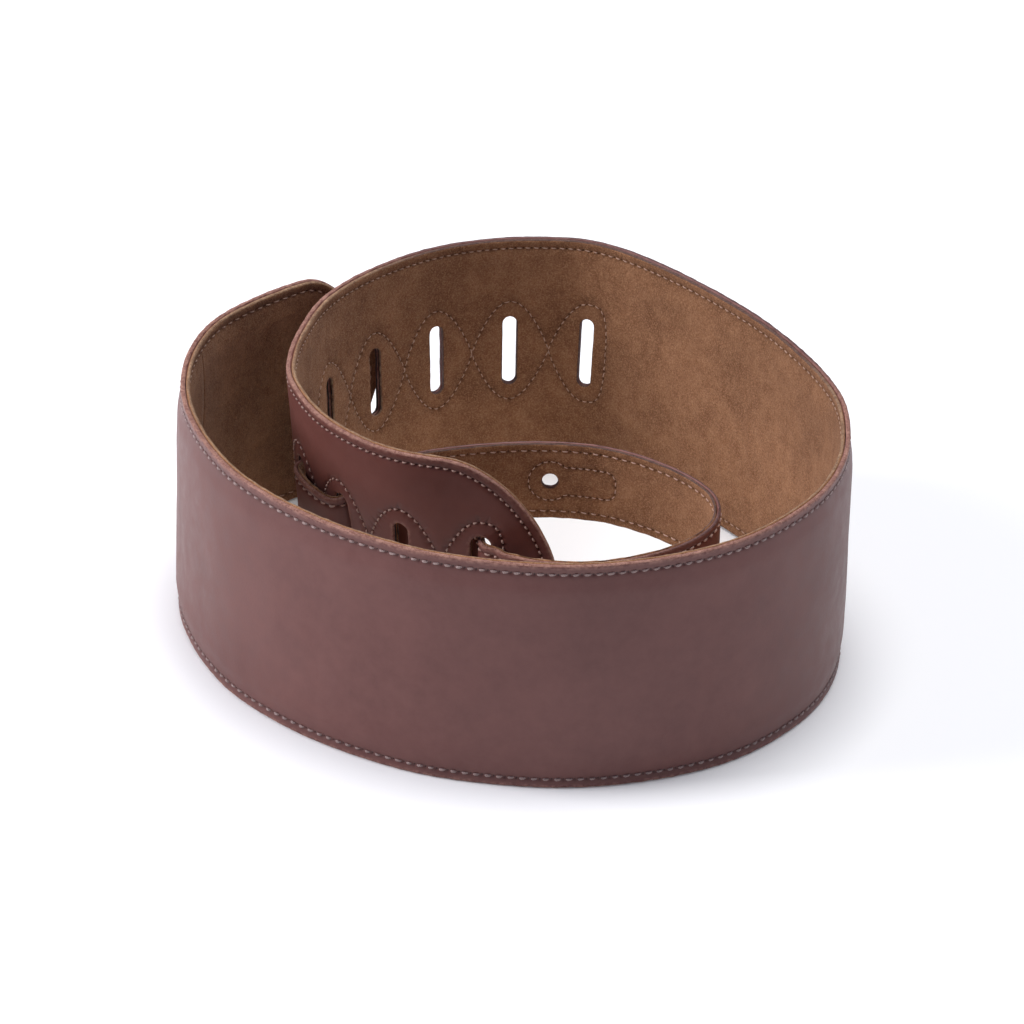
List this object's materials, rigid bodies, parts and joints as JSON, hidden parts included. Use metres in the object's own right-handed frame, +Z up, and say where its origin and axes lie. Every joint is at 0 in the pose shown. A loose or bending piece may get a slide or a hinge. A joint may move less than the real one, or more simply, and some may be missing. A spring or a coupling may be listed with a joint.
{
  "type": "guitar strap",
  "caption": "Wide padded leather guitar strap with a suede lining, coiled up on its edge, its slotted end woven with a narrow tail, and a button hole in each free end.",
  "frame": {"origin": "on the surface the strap stands on, under the middle of the coil", "axes": "+Z up across the strap's width; -Y is the side of the coil where the smooth front stretch lies; +X runs along that stretch towards the right"},
  "size_m": [0.275, 0.2811, 0.102],
  "materials": {
    "face_leather": "smooth, semi-matt, mauve-brown",
    "suede": "brushed nap, matt",
    "foam": "soft closed-cell sheet, hidden between the skins",
    "thread": "thick twisted sewing thread"
  },
  "bodies": {
    "strap": {"body_face_leather": "face_leather", "tail_face_leather": "face_leather", "body_suede_lining": "suede", "tail_suede_lining": "suede", "body_foam_pad": "foam", "body_rim_face_thread": "thread", "body_rim_lining_thread": "thread", "slot_lower_face_thread": "thread", "slot_lower_lining_thread": "thread", "slot_upper_face_thread": "thread", "slot_upper_lining_thread": "thread", "tail_lower_face_thread": "thread", "tail_lower_lining_thread": "thread", "tail_upper_face_thread": "thread", "tail_upper_lining_thread": "thread"},
    "outer_end": {"outer_end_face_leather": "face_leather", "outer_end_suede_lining": "suede", "outer_end_foam_pad": "foam", "outer_end_rim_face_thread": "thread", "outer_end_rim_lining_thread": "thread"},
    "tail_end": {"tail_end_face_leather": "face_leather", "tail_end_suede_lining": "suede", "keyhole_face_thread": "thread", "keyhole_lining_thread": "thread", "tail_end_rim_face_thread": "thread", "tail_end_rim_lining_thread": "thread"}
  },
  "joints": [
    {"name": "outer_end_flex", "type": "hinge", "parent": "strap", "child": "outer_end", "pos_m": [-0.11632, 0.06674, 0.051], "axis": [0, 0, 1], "range_deg": [0, 40], "stiffness_Nm_per_rad": 0.02},
    {"name": "tail_end_flex", "type": "hinge", "parent": "strap", "child": "tail_end", "pos_m": [0.05764, 0.00795, 0.051], "axis": [0, 0, 1], "range_deg": [-30, 5], "stiffness_Nm_per_rad": 0.01}
  ]
}
